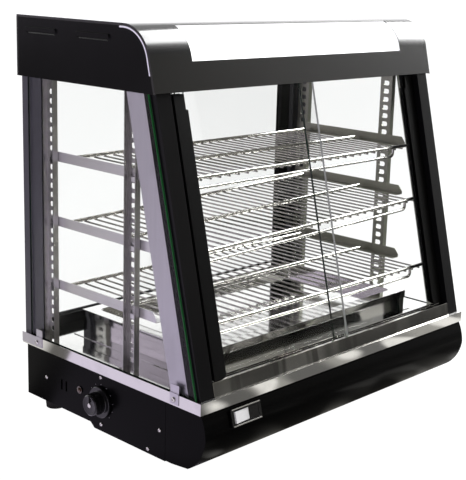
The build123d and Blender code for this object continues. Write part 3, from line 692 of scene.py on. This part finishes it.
# Screws, in millimetres from the middle of the deck.
PANEL_FACE_X = 327.0               # outside of the side panels
SIDE_SCREWS = ((153.5, 64.0), (13.5, 103.0), (12.5, 26.0), (-123.0, 60.0), (-97.5, 22.0))
CLIP_FACE_X = 330.8                # outside of the glass clips
CLIP_SCREW_YS = (-156.0, 174.0)
CLIP_SCREW_Z = 119.0
FOOT_SCREW_Z = 10.0                # seat of the screws inside the feet
FOOT_PLACES = ((-285.0, -105.0), (285.0, -105.0), (-296.0, 172.0), (296.0, 172.0))
PANEL_SCREW_SCALE = 0.88
CLIP_SCREW_SCALE = 1.15

# Pan head and cross recess, in millimetres; the head's profile is (radius, height).
HEAD_PROFILE = ((3.55, 0.0), (3.6, 0.5), (3.35, 1.3), (2.7, 1.95), (1.75, 2.35))
HEAD_STEPS = 24
CROSS_ARM = 1.55
CROSS_WAIST = 0.62
CROSS_ARM_SHARE = 0.62             # |cos 2a| above this lies in an arm
CROSS_RIM_Z = 2.38
CROSS_FLOOR_Z = 1.2
CROSS_TAPER = 0.8

# Knob, turned about a line along X. Profiles are (radius, distance left of the middle) in mm.
KNOB_LINE = (0.0135 + MIDDLE.y, 0.063)     # Y and Z of the knob's axis, in metres
KNOB_PROFILE = ((4.0, 328.2), (24.6, 328.2), (25.0, 328.7), (24.8, 331.4), (24.0, 332.2),
                (18.5, 332.2), (17.7, 333.2), (17.2, 346.6), (16.5, 349.4), (14.8, 350.9),
                (13.4, 350.9), (12.6, 350.4), (11.4, 349.9), (5.0, 349.6), (0.0, 349.6))
KNOB_BACK = ((0.0, 328.2), (4.0, 328.2))
CAP_PROFILE = ((0.0, 349.4), (3.4, 349.4), (3.6, 350.5), (3.1, 350.9), (2.2, 350.6), (0.0, 350.5))
KNOB_STEPS = 64
CAP_STEPS = 32
INDEX_X = (351.9, 349.4)           # index rib: outside and inside, left of the middle
INDEX_HALF_WIDTH = 1.2
INDEX_Z = (4.5, 14.5)              # from the axis outwards
RIB_COUNT = 30
RIB_RING = 17.2                    # radius on which the grip ribs stand
RIB_START_X = 332.7
RIB_BLOCK = (0.6, 0.8, 9.6)        # half width, half depth and length

# Dial marks: a ring of printed squares.
MARK_COUNT = 11
MARK_FIRST = -45.0                 # degrees
MARK_STEP = 27.0                   # degrees
MARK_RING = 28.5
MARK_X = 327.02
MARK_HALF_SIDE = 0.7
MARK_HEIGHT = 0.12

# Light switch on the slanted apron.
SWITCH_PLACE = (-244.0, -217.2, 92.0)
SWITCH_TILT = 75.0                 # degrees
SWITCH_SPLIT_X = -239.0            # where the rocker's clear key meets its black one
STRIP_BANDS = ((-13.2, -11.2), (11.2, 13.2))
STRIP_X = (-28.5, 30.0)
STRIP_Z = (1.8, 2.9)

# Indicator lamp, in metres.
LAMP_LINE = (0.066 + MIDDLE.y, 0.0675)     # Y and Z of the lamp's axis
LENS_RADIUS = 0.0043
LENS_START_X = 0.3285              # the lens stands past this, left of the middle


def screw_head(work):
    """Pan head standing on the XY plane with a cross recess: unit millimetres."""
    angles = [2 * math.pi * step / HEAD_STEPS for step in range(HEAD_STEPS)]
    rings = []
    for radius, z in HEAD_PROFILE:
        rings.append([work.verts.new((radius * math.cos(angle), radius * math.sin(angle), z))
                      for angle in angles])
    for near, far in zip(rings, rings[1:]):
        for step in range(HEAD_STEPS):
            after = (step + 1) % HEAD_STEPS
            work.faces.new((near[step], near[after], far[after], far[step]))
    work.faces.new(list(reversed(rings[0])))
    cross = []
    for angle in angles:
        reach = CROSS_ARM if abs(math.cos(2 * angle)) > CROSS_ARM_SHARE else CROSS_WAIST
        place = (reach * math.cos(angle), reach * math.sin(angle), CROSS_RIM_Z)
        cross.append(work.verts.new(place))
    deep = [work.verts.new((vertex.co.x * CROSS_TAPER, vertex.co.y * CROSS_TAPER, CROSS_FLOOR_Z))
            for vertex in cross]
    for step in range(HEAD_STEPS):
        after = (step + 1) % HEAD_STEPS
        work.faces.new((rings[-1][step], rings[-1][after], cross[after], cross[step]))
        work.faces.new((cross[step], cross[after], deep[after], deep[step]))
    work.faces.new(deep)
    bmesh.ops.scale(work, vec=(0.001, 0.001, 0.001), verts=work.verts)


def screw_pieces():
    """Heads on the side panels, the clips and the feet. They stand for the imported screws."""
    small, large = [], []
    for side in (-1, 1):
        small += [(mm(side * PANEL_FACE_X, y, z), (side, 0, 0)) for y, z in SIDE_SCREWS]
        large += [(mm(side * CLIP_FACE_X, y, CLIP_SCREW_Z), (side, 0, 0)) for y in CLIP_SCREW_YS]
    small += [(mm(x, y, FOOT_SCREW_Z), (0, 0, -1)) for x, y in FOOT_PLACES]
    head = template("screw_head", screw_head)
    repeated("screw_heads", head, small, ZINC, "case",
             scale=PANEL_SCREW_SCALE, spin=math.pi, seed=11, replaced=("screws",))
    repeated("clip_screw_heads", head, large, ZINC, "case",
             scale=CLIP_SCREW_SCALE, spin=math.pi, seed=12)


def by_knob(x, y, z):
    """A point in millimetres: x left of the middle, y and z from the knob's axis."""
    return Vector((MIDDLE.x - x / 1000, KNOB_LINE[0] + y / 1000, KNOB_LINE[1] + z / 1000))


def on_knob_ring(x, radius, angle):
    """A place on a ring about the knob's axis, facing left."""
    return by_knob(x, radius * math.cos(angle), radius * math.sin(angle)), (-1, 0, 0)


def turned(work, profile, steps, material_index):
    """A profile in millimetres, turned about the knob's axis."""
    points = [(radius / 1000, MIDDLE.x - x / 1000) for radius, x in profile]
    lathe(work, points, KNOB_LINE, steps, material_index)


def knob_piece():
    """Knob: skirt with a bevelled rim, tapering drum, dished face, index rib, bright centre cap."""
    work = bmesh.new()
    turned(work, KNOB_PROFILE, KNOB_STEPS, 0)
    turned(work, KNOB_BACK, KNOB_STEPS, 0)
    rounded_block(work, by_knob(INDEX_X[0], -INDEX_HALF_WIDTH, INDEX_Z[0]),
                  by_knob(INDEX_X[1], INDEX_HALF_WIDTH, INDEX_Z[1]), 0.0005, 2)
    turned(work, CAP_PROFILE, CAP_STEPS, 1)
    outward(work)
    finished(work, "thermostat_knob_piece", [GLOSS_PLASTIC, ZINC], "thermostat_knob")


def knob_rib(work):
    """One grip rib, standing on the XY plane."""
    wide, deep, long = (size / 1000 for size in RIB_BLOCK)
    rounded_block(work, (-wide, -deep, 0.0), (wide, deep, long), 0.0004, 1)


def knob_ribs():
    """Grip ribs round the drum."""
    places = [on_knob_ring(RIB_START_X, RIB_RING, 2 * math.pi * index / RIB_COUNT)
              for index in range(RIB_COUNT)]
    repeated("knob_ribs", template("knob_rib", knob_rib), places,
             GLOSS_PLASTIC, "knob")


def dial_mark(work):
    """One printed mark, standing on the XY plane."""
    half, height = MARK_HALF_SIDE / 1000, MARK_HEIGHT / 1000
    rounded_block(work, (-half, -half, 0.0), (half, half, height), 0.00005, 1)


def dial_marks():
    """Temperature marks printed round the knob, from off to full."""
    places = [on_knob_ring(MARK_X, MARK_RING, math.radians(MARK_FIRST + index * MARK_STEP))
              for index in range(MARK_COUNT)]
    repeated("dial_marks", template("dial_mark", dial_mark), places,
             PRINT_GREY, "case")


def light_switch():
    """Rocker in two colours, and the bezel with a bright strip above and below."""
    split = MIDDLE.x + SWITCH_SPLIT_X / 1000
    work = merged_copy("light_switch_rocker")
    soften(work, folds(work, 20), 0.0005, 2)
    bmesh.ops.bisect_plane(work, geom=list(work.verts) + list(work.edges) + list(work.faces),
                           plane_co=(split, 0, 0), plane_no=(1, 0, 0))
    for face in work.faces:
        face.material_index = 0 if face.calc_center_median().x < split else 1
    finished(work, "light_switch_rocker_piece", [CLEAR_KEY, GLOSS_PLASTIC], "light_switch_rocker")
    sheet_piece("light_switch_housing", GLOSS_PLASTIC, 0.0005)
    tilt = Matrix.Rotation(math.radians(SWITCH_TILT), 4, "X")
    place = Matrix.Translation(mm(*SWITCH_PLACE)) @ tilt
    work = bmesh.new()
    for low, high in STRIP_BANDS:
        rounded_block(work, Vector((STRIP_X[0], low, STRIP_Z[0])) / 1000,
                      Vector((STRIP_X[1], high, STRIP_Z[1])) / 1000, 0.0004, 2)
    bmesh.ops.transform(work, matrix=place, verts=work.verts)
    outward(work)
    finished(work, "light_switch_strips", [MIRROR], None, "case")


def lamp_piece():
    """Indicator lamp: dark bezel, amber lens."""
    work = merged_copy("indicator_lamp")
    soften(work, folds(work, 50), 0.0003, 2)
    for face in work.faces:
        centre = face.calc_center_median()
        away = math.hypot(centre.y - LAMP_LINE[0], centre.z - LAMP_LINE[1])
        on_lens = away < LENS_RADIUS and centre.x < MIDDLE.x - LENS_START_X
        face.material_index = 0 if on_lens else 1
    finished(work, "indicator_lamp_piece", [LENS, GLOSS_PLASTIC], "indicator_lamp")


screw_pieces()
knob_piece()
knob_ribs()
dial_marks()
light_switch()
lamp_piece()

NORMAL_OF_FRONT = (0.0, -1.0, LEAN)
for part in ("front_left_door_glass", "front_right_door_glass"):
    glass_piece(part, NORMAL_OF_FRONT)
for part in ("rear_left_door_glass", "rear_right_door_glass"):
    glass_piece(part, (0, 1, 0))
for part in ("left_side_glass", "right_side_glass"):
    glass_piece(part, (1, 0, 0), True)

# Left and right pieces differ in tint: the near steel on the left carries painted light and the far
# steel on the right carries painted shade, as seen from the front left. The real steel and enamel
# are likely the same on both sides.
OWN_FINISH = {
    "top_left_rail": RAIL_STEEL_PAINTED_LIT, "top_right_rail": RAIL_STEEL_PAINTED_SHADE,
    "middle_left_rail": RAIL_STEEL_PAINTED_LIT, "middle_right_rail": RAIL_STEEL_PAINTED_SHADE,
    "bottom_left_rail": RAIL_STEEL_PAINTED_LIT, "bottom_right_rail": RAIL_STEEL_PAINTED_SHADE,
    "front_left_standard": STANDARD_STEEL, "front_right_standard": STANDARD_STEEL_PAINTED_SHADE,
    "rear_left_standard": STANDARD_STEEL_PAINTED_LIT, "rear_right_standard": STANDARD_STEEL_PAINTED_SHADE,
    "right_inner_frame": FRAME_STEEL_PAINTED_SHADE,
    "rear_panel": ENAMEL, "front_apron": BASE_ENAMEL,
    "left_side_panel": BASE_ENAMEL, "right_side_panel": BASE_ENAMEL,
    "top_cover": COVER_ENAMEL, "front_bottom_track": SILL_STEEL_PAINTED_REFLECTION,
    "front_left_post": POST_ENAMEL, "front_right_post": POST_ENAMEL,
    "rear_left_post": GREY_ENAMEL, "rear_right_post": GREY_ENAMEL,
}
OWN_ROUND = {
    "top_wire_shelf": 0.0, "middle_wire_shelf": 0.0, "bottom_wire_shelf": 0.0,
    "lamp_tube": 0.0, "heating_element": 0.0, "cable_gland": 0.0, "deck_plate": 0.00018,
}
GRIP_ROUND = 0.0006
GRIPS = [f"{place}_{hand}_door_grip" for place in ("front", "rear") for hand in ("left", "right")]
for part in GRIPS:
    sheet_piece(part, GRIP_BLACK, GRIP_ROUND)

DONE = {
    "screws", "thermostat_knob", "light_switch_rocker", "light_switch_housing", "indicator_lamp",
    "front_left_door_glass", "front_right_door_glass", "rear_left_door_glass",
    "rear_right_door_glass", "left_side_glass", "right_side_glass", *GRIPS,
}
for part in sorted(NODES):
    if part not in DONE:
        sheet_piece(part, OWN_FINISH.get(part), OWN_ROUND.get(part, EDGE_ROUND))


# ---------------------------------------------------------------- camera, light and floor
CAMERA_PLACE = (-1.3413, -1.2447, 0.7227)  # from the middle of the deck
CAMERA_TURN = 43.509               # degrees from +X towards +Y
CAMERA_RISE = -12.928
CAMERA_ROLL = 1.730
SENSOR = 36.0                      # millimetres
LENS_LENGTH = 82.509
CAMERA_SHIFT = (-0.02373, -0.03575)
SOFTBOX_PLACE = (2.35, -0.24, 2.15)
SOFTBOX_TARGET = (0, -0.1, 0.62)
SOFTBOX_SIZE = (2.0, 2.2)
SOFTBOX_POWER = 230                # watts
FLOOR_REACH = 12.0


def camera():
    """Seen from the front left, a little above the case."""
    turn = math.radians(CAMERA_TURN)
    rise = math.radians(CAMERA_RISE)
    roll = math.radians(CAMERA_ROLL)
    ahead = Vector((math.cos(rise) * math.cos(turn), math.cos(rise) * math.sin(turn),
                    math.sin(rise)))
    right = ahead.cross(Vector((0, 0, 1))).normalized()
    up = right.cross(ahead)
    right, up = (right * math.cos(roll) + up * math.sin(roll),
                 up * math.cos(roll) - right * math.sin(roll))
    place = Vector(CAMERA_PLACE) + MIDDLE
    data = bpy.data.cameras.new("camera")
    data.sensor_fit = "AUTO"
    data.sensor_width = SENSOR
    data.lens = LENS_LENGTH
    data.shift_x, data.shift_y = CAMERA_SHIFT
    data.clip_start = 0.05
    data.clip_end = 50.0
    lens = bpy.data.objects.new("camera", data)
    lens.matrix_world = Matrix((
        (right.x, up.x, -ahead.x, place.x),
        (right.y, up.y, -ahead.y, place.y),
        (right.z, up.z, -ahead.z, place.z),
        (0, 0, 0, 1)))
    bpy.context.scene.collection.objects.link(lens)
    bpy.context.scene.camera = lens


def soft_light(name):
    """A large area light on the right, above and past the case."""
    data = bpy.data.lights.new(name, "AREA")
    data.shape = "RECTANGLE"
    data.size, data.size_y = SOFTBOX_SIZE
    data.energy = SOFTBOX_POWER
    light = bpy.data.objects.new(name, data)
    light.location = SOFTBOX_PLACE
    aim = Vector(SOFTBOX_TARGET) - Vector(SOFTBOX_PLACE)
    light.rotation_euler = aim.to_track_quat("-Z", "Y").to_euler()
    light.visible_camera = False
    bpy.context.scene.collection.objects.link(light)


def studio():
    """A room: plain white to the camera. Reflections see it bright behind, patchy in front."""
    world = bpy.data.worlds.new("studio")
    bpy.context.scene.world = world
    world.use_nodes = True
    room = Finish("studio", world.node_tree)
    where = room.add("ShaderNodeTexCoord", {}, {})
    parts = room.add("ShaderNodeSeparateXYZ", {}, {0: where.outputs["Generated"]})
    x, y, z = (Number(room, parts.outputs[index]) for index in range(3))
    behind = room.span(x * 0.72 + y * 0.69, 0.05, 0.55)
    left = room.span(y * 0.6 - x * 0.8, 0.2, 0.6)
    above = room.span(z, 0.30, 0.42)
    patch, fine = (Number(room, room.add("ShaderNodeTexNoise", {}, {
        "Vector": where.outputs["Generated"], "Scale": scale, "Detail": detail}).outputs["Fac"])
        for scale, detail in ((9.0, 1.0), (21.0, 0.0)))
    front = room.blend(room.span(patch, 0.48, 0.54), (0.10, 0.095, 0.08), (0.40, 0.38, 0.335))
    front = room.blend(room.span(fine, 0.60, 0.64), front, (0.85, 0.83, 0.78))
    front = room.blend(room.span(fine, 0.36, 0.32), front, (0.02, 0.018, 0.014))
    colour = room.blend(left, front, (1.02, 0.90, 1.12))
    colour = room.blend(behind, colour, (1.7, 1.7, 1.72))
    high = room.blend(behind, (0.045, 0.044, 0.04), (0.75, 0.75, 0.75))
    colour = room.blend(above, colour, high)
    lit = room.add("ShaderNodeBackground", {}, {"Color": colour, "Strength": 1.0})
    plain = room.add("ShaderNodeBackground", {}, {"Color": (1, 1, 1, 1), "Strength": 1.5})
    room.add("ShaderNodeOutputWorld", {}, {"Surface": room.whether_seen(lit, plain)})
    soft_light("overhead_softbox")


def floor():
    """A floor: plain and pale to the camera. Reflections see light and dark patches on it."""
    mesh = bpy.data.meshes.new("floor")
    corners = [(x * FLOOR_REACH, y * FLOOR_REACH, 0)
               for x, y in ((-1, -1), (1, -1), (1, 1), (-1, 1))]
    mesh.from_pydata(corners, [], [(0, 1, 2, 3)])
    pale = Finish("pale_floor", Roughness=0.9)
    fleck = pale.noise(3.0, 2.0)
    side = pale.axis("Y") * 0.6 - pale.axis("X") * 0.8
    sweep = pale.axis("X") + pale.axis("Y") * 1.03
    patch = pale.span(pale.noise(5.0, 1.0), 0.49, 0.56)
    lit_side = pale.blend(patch, (0.05, 0.047, 0.04), (0.30, 0.29, 0.26))
    lit_side = pale.blend(pale.span(pale.noise(9.0, 0.0), 0.60, 0.66), lit_side, (0.95, 0.93, 0.88))
    lit_side = pale.blend(pale.span(pale.axis("Y"), -1.3, -1.7), lit_side, (0.02, 0.02, 0.017))
    rear = pale.blend(pale.span(sweep, 0.20, 0.23), (0.80, 0.78, 0.74), (0.11, 0.105, 0.09))
    rear = pale.blend(pale.span(sweep, -0.10, -0.07), (0.10, 0.095, 0.085), rear)
    rear = pale.blend(pale.span(sweep, -0.158, -0.150), (0.84, 0.76, 0.93), rear)
    lit_side = pale.blend(pale.span(side, 0.10, 0.25), lit_side, rear)
    pale.feed(Base_Color=pale.blend(fleck, (0.020, 0.020, 0.020), (0.026, 0.026, 0.026)))
    plain = pale.add("ShaderNodeEmission", {}, {"Color": (1, 1, 1, 1), "Strength": 1.02})
    patchy = pale.add("ShaderNodeEmission", {}, {"Color": lit_side, "Strength": 1.0})
    both = pale.add("ShaderNodeAddShader", {}, {
        0: pale.shader.outputs[0], 1: pale.whether_seen(patchy, plain)})
    pale.tree.links.new(both.outputs[0], pale.output.inputs["Surface"])
    mesh.materials.append(pale.material)
    ground = bpy.data.objects.new("floor", mesh)
    bpy.context.scene.collection.objects.link(ground)


camera()
studio()
floor()
bpy.context.scene.view_settings.view_transform = "Standard"
bpy.context.scene.cycles.transparent_max_bounces = 24
